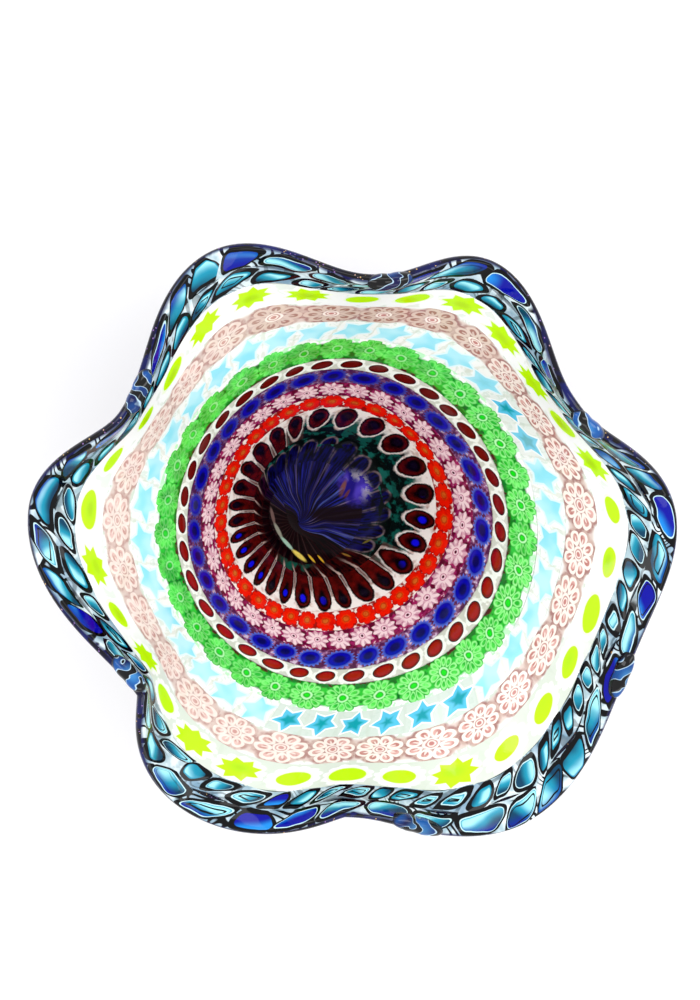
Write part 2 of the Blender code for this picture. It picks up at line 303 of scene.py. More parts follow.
def strip_object(name, points, count, columns, rows, draw, kinds):
    """Close a grid of points into a strip, and write each slice's coordinates and random numbers on it."""
    total, depth = points.shape[:2]
    here = np.arange(total)[:, None] * depth + np.arange(depth)[None, :]
    ahead = np.roll(here, -1, axis=0)
    faces = np.stack((here, ahead, np.roll(ahead, -1, axis=1), np.roll(here, -1, axis=1)), axis=-1)
    made = finish_mesh(name, points.reshape(-1, 3), faces.reshape(-1, 4).tolist())
    part = np.arange(total) % columns
    left = 2.0 * part / columns - 1.0
    right = 2.0 * (part + 1) / columns - 1.0
    face_row = np.minimum(np.arange(depth), rows)
    low = 2.0 * face_row / rows - 1.0
    high = 2.0 * np.minimum(face_row + 1, rows) / rows - 1.0
    corner = np.zeros((total, depth, 4, 3))
    for number, (across, along) in enumerate(((left, low), (right, low), (right, high), (left, high))):
        corner[..., number, 0] = across[:, None]
        corner[..., number, 1] = along
    corner[..., 2] = np.repeat(kinds, columns)[:, None, None]
    write_attribute(made.data, "slice", "CORNER", corner)
    seeds = np.array([[draw.random() for _ in range(3)] for _ in range(count)])
    per_face = np.repeat(np.repeat(seeds, columns, axis=0), depth, axis=0)
    write_attribute(made.data, "luck", "FACE", per_face)
    return made


# --- Node helpers: values in a material, with arithmetic ---
def linear(colour):
    """A colour as seen, turned into the linear values that shaders take."""
    return (*(((part + 0.055) / 1.055) ** 2.4 if part > 0.04045 else part / 12.92 for part in colour), 1.0)


def math_node(operation):
    """A method of Value that adds one Math node."""
    def add_node(value, *others):
        return value.math(operation, *others)
    return add_node


class Value:
    """A number in a material's node tree. Arithmetic on it adds Math nodes."""

    def __init__(self, tree, socket):
        self.tree = tree
        self.socket = socket

    def math(self, operation, *others):
        node = self.tree.nodes.new("ShaderNodeMath")
        node.operation = operation
        for entry, value in zip(node.inputs, (self, *others)):
            plug(self.tree, entry, value)
        return Value(self.tree, node.outputs[0])

    __add__ = __radd__ = math_node("ADD")
    __mul__ = __rmul__ = math_node("MULTIPLY")
    __sub__ = math_node("SUBTRACT")
    __truediv__ = math_node("DIVIDE")
    __pow__ = math_node("POWER")
    abs = math_node("ABSOLUTE")
    fract = math_node("FRACT")
    sin = math_node("SINE")
    cos = math_node("COSINE")
    least = math_node("MINIMUM")
    most = math_node("MAXIMUM")

    def __rsub__(self, other):
        return (self * -1.0) + other

    def above(self, edge, soft=0.02):
        """0 below the edge and 1 above it, with a soft step between."""
        node = self.tree.nodes.new("ShaderNodeMapRange")
        node.interpolation_type = "SMOOTHSTEP"
        plug(self.tree, node.inputs["Value"], self)
        node.inputs["From Min"].default_value = edge - soft
        node.inputs["From Max"].default_value = edge + soft
        return Value(self.tree, node.outputs["Result"])

    def below(self, edge, soft=0.02):
        """1 below the edge and 0 above it."""
        return 1.0 - self.above(edge, soft)


def plug(tree, entry, value):
    if isinstance(value, Value):
        tree.links.new(value.socket, entry)
    else:
        entry.default_value = value


def hypot(first, second):
    return (first * first + second * second).math("SQRT")


class Painter:
    """Builds one material: a slice's coordinates come in, a colour goes to a glossy glass shader.

    x and y run from -1 to 1 across a slice and up it, kind is the number that its angle gave it, and luck
    holds three random numbers of its own. plan_x, plan_y and height are the place on the bowl.
    """

    def __init__(self, name):
        self.material = bpy.data.materials.new(name)
        self.material.use_nodes = True
        self.tree = self.material.node_tree
        self.shader = self.tree.nodes["Principled BSDF"]
        self.place = self.tree.nodes.new("ShaderNodeTexCoord").outputs["Object"]
        self.plan_x, self.plan_y, self.height = (part / MM for part in self.split(self.place))
        self.x, self.y, self.kind = self.split(self.attribute("slice"))
        self.luck = self.split(self.attribute("luck"))

    def attribute(self, name):
        node = self.tree.nodes.new("ShaderNodeAttribute")
        node.attribute_name = name
        return node.outputs["Vector"]

    def split(self, vector):
        node = self.tree.nodes.new("ShaderNodeSeparateXYZ")
        self.tree.links.new(vector, node.inputs[0])
        return [Value(self.tree, output) for output in node.outputs]

    def combine(self, *parts):
        node = self.tree.nodes.new("ShaderNodeCombineXYZ")
        for entry, value in zip(node.inputs, parts):
            plug(self.tree, entry, value)
        return node.outputs[0]

    def noise(self, scale, detail=2.0, vector=None, distortion=0.0, output="Fac"):
        """Noise over the bowl, its scale counted per metre, or over another vector."""
        node = self.tree.nodes.new("ShaderNodeTexNoise")
        self.tree.links.new(vector or self.place, node.inputs["Vector"])
        node.inputs["Scale"].default_value = scale
        node.inputs["Detail"].default_value = detail
        node.inputs["Distortion"].default_value = distortion
        return Value(self.tree, node.outputs[output])

    def wobble(self, scale, amount):
        """Push the slice coordinates about, so that no two slices are drawn alike."""
        push_x, push_y, _ = self.split(self.noise(scale, 1.5, output="Color").socket)
        self.x = self.x + (push_x - 0.5) * (2.0 * amount)
        self.y = self.y + (push_y - 0.5) * (2.0 * amount)

    def zones(self, value, stops, span=1.0, soft=0.012):
        """Colours by how far out a value lies: each stop is the outer edge of its colour.

        span is the largest value, and soft is half the width of the change between two colours, per span.
        """
        node = self.tree.nodes.new("ShaderNodeValToRGB")
        ramp = node.color_ramp
        points = [(0.0, stops[0][1])]
        for (edge, colour), (_, following) in zip(stops, stops[1:]):
            points.append((edge / span - soft, colour))
            points.append((edge / span + soft, following))
        while len(ramp.elements) > 1:
            ramp.elements.remove(ramp.elements[-1])
        ramp.elements[0].position = 0.0
        ramp.elements[0].color = linear(points[0][1])
        for position, colour in points[1:]:
            ramp.elements.new(min(max(position, 0.0), 1.0)).color = linear(colour)
        plug(self.tree, node.inputs["Fac"], value / span)
        return node.outputs["Color"]

    def mix(self, factor, first, second):
        """A colour between two others, each a colour as seen or another node's colour."""
        node = self.tree.nodes.new("ShaderNodeMix")
        node.data_type = "RGBA"
        plug(self.tree, node.inputs["Factor"], factor)
        for entry, colour in ((node.inputs["A"], first), (node.inputs["B"], second)):
            if isinstance(colour, bpy.types.NodeSocket):
                self.tree.links.new(colour, entry)
            else:
                entry.default_value = linear(colour)
        return node.outputs["Result"]

    def blend(self, factor, first, second):
        """A number between two others."""
        node = self.tree.nodes.new("ShaderNodeMix")
        node.data_type = "FLOAT"
        for entry, value in (("Factor", factor), ("A", first), ("B", second)):
            plug(self.tree, node.inputs[entry], value)
        return Value(self.tree, node.outputs["Result"])

    def done(self, colour, roughness=0.1, specular=0.25, coat=0.1, ripple=0.00012, ripple_scale=70.0):
        """Send the colour to a smooth, slightly rippled glass surface."""
        self.tree.links.new(colour, self.shader.inputs["Base Color"])
        self.shader.inputs["Roughness"].default_value = roughness
        self.shader.inputs["IOR"].default_value = 1.5
        self.shader.inputs["Specular IOR Level"].default_value = specular
        self.shader.inputs["Coat Weight"].default_value = coat
        self.shader.inputs["Coat Roughness"].default_value = 0.03
        bump = self.tree.nodes.new("ShaderNodeBump")
        bump.inputs["Strength"].default_value = 0.6
        bump.inputs["Distance"].default_value = ripple
        plug(self.tree, bump.inputs["Height"], self.noise(ripple_scale))
        self.tree.links.new(bump.outputs[0], self.shader.inputs["Normal"])
        return self.material


# --- Outlines of slices ---
def fold(x, y, points, turn):
    """Fold a slice into one of its equal sectors: distances out along its middle, and sideways from that."""
    sector = ((y.math("ARCTAN2", x) * (points / TAU) + turn).fract() - 0.5) * (TAU / points)
    middle = hypot(x, y)
    return middle * sector.cos(), (middle * sector.sin()).abs()


def star(x, y, points, waist, turn=0.0):
    """Size of the straight-edged star through a place: its tips are at 1 and its notches at waist."""
    half = math.pi / points
    out, side = fold(x, y, points, turn)
    return out + side * ((1.0 / waist - math.cos(half)) / math.sin(half))


def blossom(x, y, petals, notch, turn=0.0, roundness=0.55):
    """Size of the scalloped flower through a place: its petals end at 1."""
    lobe = (y.math("ARCTAN2", x) * (petals / 2.0) + turn * math.pi).sin().abs() ** roundness
    return hypot(x, y) / (1.0 - (1.0 - lobe) * notch)


def pebble(x, y, half_width, half_height, corner):
    """Signed distance, in millimetres, to a box with round corners: negative inside."""
    across = x.abs() - half_width + corner
    along = y.abs() - half_height + corner
    outside = hypot(across.most(0.0), along.most(0.0))
    return outside + across.most(along).least(0.0) - corner


def stroke(paint, start, end, half_width):
    """1 on a tapered brush stroke between two plan positions of the bowl, and 0 off it."""
    run = (end[0] - start[0], end[1] - start[1])
    size = math.hypot(*run)
    offset_x = paint.plan_x - (start[0] + end[0]) / 2.0
    offset_y = paint.plan_y - (start[1] + end[1]) / 2.0
    along = (offset_x * run[0] + offset_y * run[1]) * (2.0 / size ** 2)
    aside = (offset_x * run[1] - offset_y * run[0]) / (size * half_width)
    return hypot(along, aside).below(0.75, 0.25)


# --- One recipe for each glass: colours are written as seen, and places in millimetres ---
WHITE = (1.0, 1.0, 1.0)
BLACK = (0.0, 0.0, 0.01)
LILAC_FLAKE = (0.62, 0.46, 0.75)
GOLD_FLAKE = (0.9, 0.74, 0.46)
REFLECTION_PLACE = (18.0, 6.4)   # middle of the painted reflection of a light in the base glass, a violet patch, in plan
REFLECTION_SIZE = (12.5, 15.0)
REFLECTION_AXIS = (0.85, 0.53)   # direction of its shorter side


def towards(paint, degrees, start, soft):
    """1 on the side of the bowl that lies in a direction, easing to 0 where the cosine falls below start."""
    turn = math.radians(degrees)
    along = paint.plan_x * math.cos(turn) + paint.plan_y * math.sin(turn)
    return (along / hypot(paint.plan_x, paint.plan_y)).above(start, soft)


def streaked_white(paint, scale=95.0, tint=(0.78, 0.83, 0.76)):
    """White glass with thin grey-green threads."""
    cloud = paint.noise(scale, 3.0, distortion=2.0)
    return paint.mix(cloud.above(0.57, 0.05) * 0.7, (0.97, 0.98, 0.97), tint)


def core_material():
    """The closed gather: drops drawn out to the swirl, a violet patch that is a painted reflection, and a
    pale fold with gold strokes that are painted highlight.
    """
    paint = Painter("core_glass")
    flow = paint.combine(paint.x * 1.5 + paint.luck[0] * 40.0, paint.y * 0.45)
    thread = paint.noise(2.2, 4.0, vector=flow)
    paint.wobble(38.0, 0.45)
    paint.wobble(120.0, 0.12)
    out = (paint.y + 1.0) * 0.5
    fan = paint.kind
    base = paint.mix(thread.above(0.47, 0.1), (0.01, 0.0, 0.03), (0.05, 0.03, 0.3))
    base = paint.mix(thread.above(0.56, 0.06) * (paint.luck[1] * 1.2), base, (0.13, 0.16, 0.62))
    edge = (paint.x.abs() + (thread - 0.5) * 1.3).above(0.86, 0.32)
    pale = paint.mix(paint.luck[1].above(0.5, 0.2), (0.56, 0.48, 0.56), (0.36, 0.44, 0.76))
    base = paint.mix(edge * out.above(0.1, 0.1) * (0.08 + paint.luck[2] * 0.62), base, pale)
    dark = paint.mix(thread.above(0.53, 0.08), (0.01, 0.0, 0.01), (0.12, 0.0, 0.02))
    dark = paint.mix(edge * out.above(0.88, 0.1) * 0.3, dark, (0.34, 0.24, 0.24))
    base = paint.mix(fan, dark, base)
    wedge = hypot((paint.plan_x - 8.0) / 32.0, (paint.plan_y + 12.5) / 7.5)
    base = paint.mix((wedge + (thread - 0.5) * 0.5).below(0.8, 0.25) * 0.95, base, (0.07, 0.0, 0.02))
    # Painted reflection of a light in the base glass, then painted highlight along the fold
    colour = add_reflection_patch(paint, base)
    return paint.done(add_fold_highlight(paint, colour), roughness=0.3, specular=0.06, coat=0.0)


def add_reflection_patch(paint, colour):
    """Painted reflection of a light in the base glass: a violet patch to the right of the swirl, with rust
    strokes and a ragged pale edge.
    """
    fine = paint.noise(190.0, 3.0)
    from_x = paint.plan_x - REFLECTION_PLACE[0]
    from_y = paint.plan_y - REFLECTION_PLACE[1]
    across = from_x * REFLECTION_AXIS[0] + from_y * REFLECTION_AXIS[1]
    along = from_y * REFLECTION_AXIS[0] - from_x * REFLECTION_AXIS[1]
    patch = hypot(across / REFLECTION_SIZE[0], along / REFLECTION_SIZE[1]) + (fine - 0.5) * 0.8
    violet = paint.mix(paint.noise(90.0, 1.0).above(0.5, 0.15), (0.12, 0.06, 0.52), (0.34, 0.26, 0.8))
    violet = paint.mix(stroke(paint, (4.5, -5.0), (12.5, 14.0), 2.4), violet, (0.5, 0.3, 0.3))
    violet = paint.mix(stroke(paint, (8.5, -4.0), (15.0, 6.0), 1.5), violet, (0.4, 0.2, 0.26))
    ragged = patch.above(0.5, 0.2) * fine.above(0.5, 0.05) * across.above(2.0, 6.0)
    violet = paint.mix(ragged * 0.8, violet, (0.8, 0.78, 0.8))
    return paint.mix(patch.below(0.8, 0.3), colour, violet)


def add_fold_highlight(paint, colour):
    """Painted highlight: the pale fold round the lower left of the swirl, where its edge catches light, and
    the gold glints that follow it.
    """
    for start, end, half_width, shade in (
            ((-43.0, -4.0), (-39.5, -19.0), 1.5, (0.46, 0.36, 0.34)),
            ((-41.0, -15.0), (-34.0, -29.0), 1.6, (0.6, 0.6, 0.54)),
            ((-37.0, -25.0), (-26.0, -37.5), 1.5, (0.66, 0.8, 0.72)),
            ((-29.0, -35.0), (-17.0, -45.0), 1.8, (0.96, 0.86, 0.4)),
            ((-17.0, -39.5), (-11.0, -46.0), 0.9, (0.92, 0.74, 0.22)),
            ((-10.0, -40.5), (-4.5, -46.5), 0.8, (0.9, 0.7, 0.18)),
            ((7.0, -40.0), (15.0, -42.5), 0.8, (0.55, 0.4, 0.16)),
            ((22.0, -34.0), (30.0, -30.0), 0.8, (0.42, 0.38, 0.14))):
        colour = paint.mix(stroke(paint, start, end, half_width), colour, shade)
    return colour


def navy_material():
    """The round ends of the navy drops in dark green glass; on the other side, the ends of the tails."""
    paint = Painter("navy_drop_glass")
    grain = paint.noise(150.0)
    flow = paint.combine(paint.x * 1.3 + paint.luck[0] * 40.0, paint.y * 0.5)
    thread = paint.noise(2.4, 3.0, vector=flow)
    paint.wobble(70.0, 0.2)
    squeeze = 1.0 + (paint.y + 1.0) * 0.07
    drop = hypot(paint.x * squeeze, (paint.y - 0.1 + paint.luck[1] * 0.4).most(0.0) * 1.25)
    green = paint.mix(grain.above(0.56, 0.08), (0.01, 0.04, 0.04), (0.04, 0.2, 0.17))
    green = paint.mix(grain.above(0.55, 0.05) * paint.y.above(0.5, 0.2), green, (0.09, 0.4, 0.36))
    inside = paint.mix(thread.above(0.5, 0.1), (0.01, 0.0, 0.06), (0.04, 0.04, 0.32))
    outline = paint.mix(grain.above(0.5, 0.1), (0.12, 0.13, 0.15), (0.5, 0.42, 0.44))
    rounded = paint.y.above(0.0, 0.8)
    outline = paint.mix(rounded + (1.0 - rounded) * (0.08 + paint.luck[2] * 0.5), inside, outline)
    colour = paint.mix((drop + (grain - 0.5) * 0.2).above(1.02, 0.08), outline, green)
    colour = paint.mix(drop.below(0.82, 0.1), colour, inside)
    tail = paint.mix(thread.above(0.5, 0.1), (0.02, 0.0, 0.01), (0.22, 0.02, 0.02))
    south = hypot((paint.plan_x + 25.0) / 13.0, (paint.plan_y + 40.0) / 14.0).below(0.8, 0.4)
    tail = paint.mix(south * grain.above(0.5, 0.1), tail, (0.05, 0.34, 0.28))
    gap = (paint.x.abs() + (grain - 0.5) * 0.45).above(0.86, 0.1)
    gap_shade = paint.mix(paint.y.above(0.1, 0.8), (0.36, 0.26, 0.25), (0.78, 0.68, 0.64))
    tail = paint.mix(gap * paint.y.above(-0.7, 0.6), tail, gap_shade)
    # Painted reflection of a light in the base glass, then painted highlight along the fold
    colour = add_reflection_patch(paint, paint.mix(paint.kind, tail, colour))
    return paint.done(add_fold_highlight(paint, colour), roughness=0.3, specular=0.06, coat=0.0)


def maroon_material():
    """Maroon drops, some with a blue eye: ovals on one side, drawn out to dark tails on the other."""
    paint = Painter("maroon_eye_glass")
    grain = paint.noise(150.0)
    fine = paint.noise(380.0)
    direction = paint.plan_y.math("ARCTAN2", paint.plan_x)
    right_eyes = (direction + 0.35).abs().below(0.36, 0.08)
    left_eyes = (direction + 2.4).abs().below(0.7, 0.15)
    paint.wobble(80.0, 0.09)
    tail = paint.kind
    small = 1.0 + (1.0 - tail) * 0.14
    rise = paint.y - 0.1 - (1.0 - tail) * 0.14
    upper = rise.above(0.0, 0.02)
    reach = upper * 1.1 + (1.0 - upper) * (1.15 - tail * 0.85)
    width = 0.9 + paint.y * 0.05
    drop = hypot(paint.x / width, rise * reach) * small + (fine - 0.5) * 0.16
    red = paint.mix(grain.above(0.5, 0.2), (0.22, 0.01, 0.01), (0.4, 0.04, 0.03))
    fill = paint.mix(hypot(paint.x * 1.8, rise * 1.3).above(0.5, 0.35), (0.03, 0.0, 0.02), red)
    eye = hypot(paint.x * 3.1, (paint.y - 0.4) * 4.4)
    bright = (right_eyes + left_eyes) * paint.luck[0].above(0.15, 0.1)
    blue = paint.mix(bright, (0.06, 0.02, 0.1), (0.07, 0.05, 0.94))
    fill = paint.mix(eye.below(1.45, 0.4), fill, (0.02, 0.0, 0.03))
    fill = paint.mix(eye.below(0.82, 0.24), fill, blue)
    fill = paint.mix(drop.above(0.8, 0.08), fill, (0.05, 0.0, 0.01))
    pale = paint.mix(grain.above(0.4, 0.12), (0.84, 0.72, 0.68), (1.0, 0.97, 0.95))
    green = paint.mix(grain.above(0.53, 0.06), (0.02, 0.07, 0.07), (0.06, 0.34, 0.3))
    shaded = paint.mix(tail, green, (0.42, 0.28, 0.26))
    beyond = (drop + (grain - 0.5) * 0.4).above(1.1, 0.1)
    low = (paint.y + (grain - 0.5) * 0.9 - (1.0 - tail) * 0.42).below(-0.02, 0.3)
    ground = paint.mix(low * (tail * (0.7 - beyond * 0.7) + beyond), pale, shaded)
    colour = paint.mix(drop.above(0.95, 0.05), fill, ground)
    # Painted highlight along the fold, where it crosses the maroon ring
    return paint.done(add_fold_highlight(paint, colour), specular=0.2, coat=0.0)


def orange_material():
    """Orange-red flowers with rust hearts, and white gaps between them."""
    paint = Painter("orange_flower_glass")
    paint.wobble(110.0, 0.11)
    bloom = blossom(paint.x * 0.93, paint.y * 0.96, 8.0, 0.22, paint.luck[0])
    grain = paint.noise(200.0)
    gap = paint.mix(grain.above(0.5, 0.08), (0.6, 0.08, 0.05), (1.0, 0.93, 0.9))
    colour = paint.zones(bloom, (
        (0.24, (0.84, 0.4, 0.12)), (0.34, (0.76, 0.22, 0.04)), (0.46, (0.94, 0.22, 0.02)),
        (0.92, (0.95, 0.09, 0.0)), (1.6, (0.74, 0.02, 0.0))), span=1.6, soft=0.03)
    colour = paint.mix(grain.above(0.58, 0.08) * 0.5, colour, (0.76, 0.03, 0.0))
    return paint.done(paint.mix(bloom.above(1.03, 0.03), colour, gap), specular=0.2, coat=0.0)


def plum_material():
    """Pale pink ten-petalled flowers on mottled plum glass."""
    paint = Painter("plum_flower_glass")
    paint.wobble(110.0, 0.1)
    paint.wobble(260.0, 0.04)
    bloom = star(paint.x * 0.9, paint.y * 0.92, 10.0, 0.78, paint.luck[0])
    middle = hypot(paint.x, paint.y)
    grain = paint.noise(240.0)
    out, side = fold(paint.x, paint.y, 10.0, paint.luck[0])
    crease = side.above(0.13, 0.03) * out.above(0.4, 0.06)
    petals = paint.mix(grain.above(0.56, 0.08), (0.96, 0.84, 0.86), (0.86, 0.66, 0.72))
    petals = paint.mix(crease * 0.65, petals, (0.66, 0.3, 0.46))
    heart = paint.zones(middle, (
        (0.11, (0.3, 0.04, 0.16)), (0.22, (0.95, 0.8, 0.84)), (0.28, (0.74, 0.4, 0.52)),
        (1.0, (0.93, 0.8, 0.83))), soft=0.02)
    petals = paint.mix(middle.above(0.29, 0.02), heart, petals)
    ground = paint.mix(grain.above(0.5, 0.1), (0.36, 0.02, 0.16), (0.62, 0.12, 0.36))
    ground = paint.mix(middle.above(1.12, 0.05) * grain.above(0.6, 0.03), ground, (0.9, 0.78, 0.82))
    return paint.done(paint.mix(bloom.above(0.94, 0.04), petals, ground))


def cobalt_material():
    """Cobalt ovals, each in a periwinkle halo with a ragged edge; halo and ground darker on one side as
    painted shade.
    """
    paint = Painter("cobalt_star_glass")
    paint.wobble(110.0, 0.08)
    slanted = paint.y + paint.x * 0.12
    oval = hypot(paint.x * 1.3, slanted * 1.38)
    halo = star(paint.x * 0.95, slanted * 0.98, 18.0, 0.8, paint.luck[0])
    grain = paint.noise(230.0)
    ground = paint.mix(grain.above(0.52, 0.08), (0.32, 0.1, 0.28), (0.6, 0.38, 0.56))
    ground = paint.mix(grain.above(0.62, 0.03) * 0.8, ground, (0.86, 0.8, 0.88))
    glow = paint.mix(oval.above(1.05, 0.25), (0.1, 0.14, 0.66), (0.36, 0.46, 0.86))
    # Painted shade: halo and ground darker on the side of the bowl towards 120 degrees, where the inside gets
    # less light
    glow = paint.mix(towards(paint, 120.0, 0.0, 0.6) * 0.7, glow, (0.16, 0.12, 0.52))
    ground = paint.mix(towards(paint, 120.0, 0.0, 0.6) * 0.5, ground, (0.22, 0.08, 0.3))
    colour = paint.mix(halo.above(0.97, 0.04), glow, ground)
    inside = paint.zones(oval, ((0.5, (0.01, 0.01, 0.34)), (0.88, (0.02, 0.02, 0.66)),
                                (1.6, (0.03, 0.04, 0.5))), span=1.6, soft=0.08)
    return paint.done(paint.mix(oval.below(0.9, 0.03), colour, inside))


def red_material():
    """Dark red ovals in black outlines on white glass with grey joints; the ovals darker on one side as
    painted shade.
    """
    paint = Painter("red_oval_glass")
    grain = paint.noise(220.0)
    paint.wobble(120.0, 0.06)
    slanted = paint.y + paint.x * 0.1
    oval = hypot(paint.x * 1.24, slanted * 1.22)
    colour = paint.zones(oval, (
        (0.6, (0.62, 0.04, 0.02)), (0.8, (0.48, 0.01, 0.01)), (0.9, (0.02, 0.01, 0.01)),
        (1.7, WHITE)), span=1.7, soft=0.014)
    # Painted shade: ovals darker on the side of the bowl towards 95 degrees, where the inside gets less light
    colour = paint.mix(towards(paint, 95.0, -0.05, 0.6) * 0.75, colour, (0.26, 0.02, 0.01))
    ground = paint.mix((oval + (grain - 0.5) * 1.1).above(1.22, 0.12), (0.96, 0.97, 0.94), (0.81, 0.82, 0.77))
    seam = paint.y.abs().above(0.92, 0.05) * grain.above(0.5, 0.1) * 0.7
    ground = paint.mix(seam, ground, (0.36, 0.28, 0.3))
    return paint.done(paint.mix(oval.above(0.91, 0.02), colour, ground))


def green_material():
    """Green flowers: a bright eye in a pale ring, and petals drawn as pale loops."""
    paint = Painter("green_flower_glass")
    paint.wobble(90.0, 0.1)
    paint.wobble(240.0, 0.05)
    bloom = blossom(paint.x * 0.94, paint.y * 0.93, 12.0, 0.16, paint.luck[0])
    middle = hypot(paint.x, paint.y)
    out, side = fold(paint.x, paint.y, 12.0, paint.luck[0])
    petal = hypot((out - 0.68) / 0.3, side / (0.05 + out * 0.16))
    grain = paint.noise(220.0, 3.0)
    base = paint.mix(grain.above(0.5, 0.12), (0.12, 0.7, 0.16), (0.34, 0.9, 0.32))
    loop = petal.above(0.62, 0.16) * petal.below(1.05, 0.14)
    colour = paint.mix(loop * (0.4 + paint.luck[1] * 0.45), base, (0.66, 0.99, 0.62))
    colour = paint.mix(petal.above(1.2, 0.2) * 0.7, colour, (0.05, 0.55, 0.11))
    colour = paint.mix(grain.above(0.6, 0.06) * 0.5, colour, (0.55, 0.97, 0.52))
    smeared = towards(paint, 140.0, 0.1, 0.7)
    streak = paint.mix(paint.noise(95.0, 3.0).above(0.5, 0.16), (0.06, 0.52, 0.12), (0.34, 0.92, 0.32))
    colour = paint.mix(smeared * 0.62, colour, streak)
    ring = paint.zones(middle, (
        (0.15, (0.02, 0.88, 0.05)), (0.21, (0.05, 0.6, 0.1)), (0.33, (0.74, 1.0, 0.72)),
        (1.6, (0.1, 0.62, 0.16))), span=1.6, soft=0.02)
    eye = (middle + (grain - 0.5) * 0.12).below(0.34, 0.03)
    colour = paint.mix(eye * (1.0 - smeared * 0.5), colour, ring)
    joint = paint.mix(grain.above(0.46, 0.08), (0.02, 0.4, 0.09), (0.16, 0.76, 0.2))
    inner_edge = paint.mix(grain.above(0.54, 0.04), (0.05, 0.46, 0.11), (0.28, 0.06, 0.04))
    joint = paint.mix(paint.y.below(-0.74, 0.1), joint, inner_edge)
    outer_edge = paint.mix(grain.above(0.52, 0.06), WHITE, (0.76, 0.98, 0.78))
    joint = paint.mix(paint.y.above(0.62, 0.1), joint, outer_edge)
    return paint.done(paint.mix(bloom.above(0.98, 0.03), colour, joint))


def aqua_material():
    """Five-pointed stars, pale aqua or deep turquoise, on streaked white."""
    paint = Painter("aqua_star_glass")
    thread = (paint.x.abs() + (paint.noise(120.0) - 0.5) * 0.5).above(0.93, 0.05)
    paint.wobble(80.0, 0.09)
    slanted = paint.y + paint.x * 0.15
    shape = star(paint.x * 0.96, slanted * 0.96, 5.0, 0.54, paint.luck[0]) * (1.0 + paint.kind * 0.1)
    glow = paint.noise(70.0, 1.0).above(0.5, 0.2)
    light = paint.mix(glow, (0.76, 0.96, 1.0), (0.58, 0.9, 0.97))
    deep = paint.mix((shape + (glow - 0.5) * 0.3).above(0.48, 0.25), (0.04, 0.62, 0.68), (0.34, 0.78, 0.92))
    fill = paint.mix(paint.kind, light, deep)
    ground = paint.mix(thread * 0.4, streaked_white(paint, 120.0, (0.84, 0.9, 0.86)), (0.8, 0.82, 0.74))
    tinted = paint.kind * (0.35 + towards(paint, 270.0, 0.2, 0.5) * 0.4)
    ground = paint.mix(tinted, ground, (0.8, 0.86, 0.82))
    halo = paint.mix(paint.kind, (0.9, 0.98, 1.0), WHITE)
    colour = paint.mix(shape.above(1.2, 0.04), halo, ground)
    return paint.done(paint.mix(shape.above(0.97, 0.06), fill, colour))


def rose_material():
    """Eight-petalled flowers drawn with thick cream outlines on rose and taupe."""
    paint = Painter("rose_flower_glass")
    paint.wobble(90.0, 0.1)
    paint.wobble(240.0, 0.045)
    middle = hypot(paint.x, paint.y)
    out, side = fold(paint.x, paint.y, 8.0, paint.luck[0])
    spread = 0.12 + out * 0.2
    petal = hypot((out - 0.66) / 0.31, side / spread)
    grain = paint.noise(210.0)
    old = paint.kind
    fill = paint.mix(grain.above(0.5, 0.12), (0.88, 0.68, 0.65), (0.74, 0.48, 0.45))
    fill = paint.mix(old * 0.85, fill, (0.62, 0.44, 0.38))
    cream = paint.mix(old * 0.75, (1.0, 0.94, 0.91), (0.82, 0.7, 0.64))
    taupe = paint.mix(grain.above(0.5, 0.1), (0.8, 0.68, 0.64), (0.66, 0.48, 0.46))
    tongue = hypot((out - 0.55) / 0.17, side / 0.05)
    colour = paint.mix(petal.above(0.6, 0.08), fill, cream)
    colour = paint.mix(tongue.below(0.9, 0.2) * 0.8, colour, cream)
    colour = paint.mix(petal.above(1.08, 0.05), colour, taupe)
    heart = paint.zones(middle, (
        (0.11, (0.78, 0.52, 0.5)), (0.18, (1.0, 0.93, 0.9)), (0.23, (0.74, 0.5, 0.48)),
        (0.33, (1.0, 0.94, 0.91)), (1.6, (0.8, 0.6, 0.6))), span=1.6, soft=0.012)
    colour = paint.mix(middle.below(0.33, 0.02), colour, heart)
    blurred = towards(paint, 185.0, 0.35, 0.5) * 0.45
    haze = paint.mix(grain.above(0.5, 0.2), (0.97, 0.9, 0.87), (0.86, 0.72, 0.68))
    colour = paint.mix(blurred, colour, haze)
    beyond = paint.mix(paint.y.abs().above(0.8, 0.12), (0.88, 0.8, 0.77), streaked_white(paint))
    halo = petal.above(1.55, 0.25) * middle.above(0.72, 0.08)
    return paint.done(paint.mix(halo, colour, beyond))


def lime_material():
    """Lime ovals and eight-pointed stars on white glass."""
    paint = Painter("lime_sun_glass")
    grain = paint.noise(170.0)
    thread = paint.noise(60.0, distortion=1.0)
    paint.wobble(75.0, 0.06)
    slanted = paint.y - 0.1 + paint.x * 0.08
    shrink = 1.0 + paint.luck[2] * 0.45
    oval = hypot(paint.x * 1.3, slanted * 1.6) * shrink
    sun = star(paint.x * 1.12, slanted * 1.12, 8.0, 0.66, paint.luck[0]) * (0.95 + paint.luck[2] * 0.15)
    shape = paint.blend(paint.kind, oval, sun)
    ground = paint.mix(thread.above(0.6, 0.05) * 0.45, WHITE, (0.8, 0.85, 0.78))
    halo = shape + (grain - 0.5) * 0.5
    ground = paint.mix(halo.below(1.35, 0.06) * 0.9, ground, WHITE)
    ground = paint.mix(halo.below(1.1, 0.06) * 0.7, ground, (0.95, 0.99, 0.84))
    scallop = blossom(paint.x * 0.98, slanted * 1.04, 12.0, 0.16, paint.luck[1]) + (grain - 0.5) * 0.25
    front = paint.plan_y.below(-65.0, 30.0)
    ground = paint.mix(scallop.above(0.98, 0.06) * front * 0.8, ground, (0.82, 0.86, 0.8))
    low = paint.luck[1].above(0.5, 0.3)
    heart = paint.mix(low, (0.76, 0.96, 0.03), (0.68, 0.86, 0.04))
    fill = paint.mix(hypot(paint.x * 1.2, paint.y * 1.5).above(0.4, 0.3), heart, (0.76, 0.97, 0.02))
    return paint.done(paint.mix(shape.above(0.95, 0.02), fill, ground))


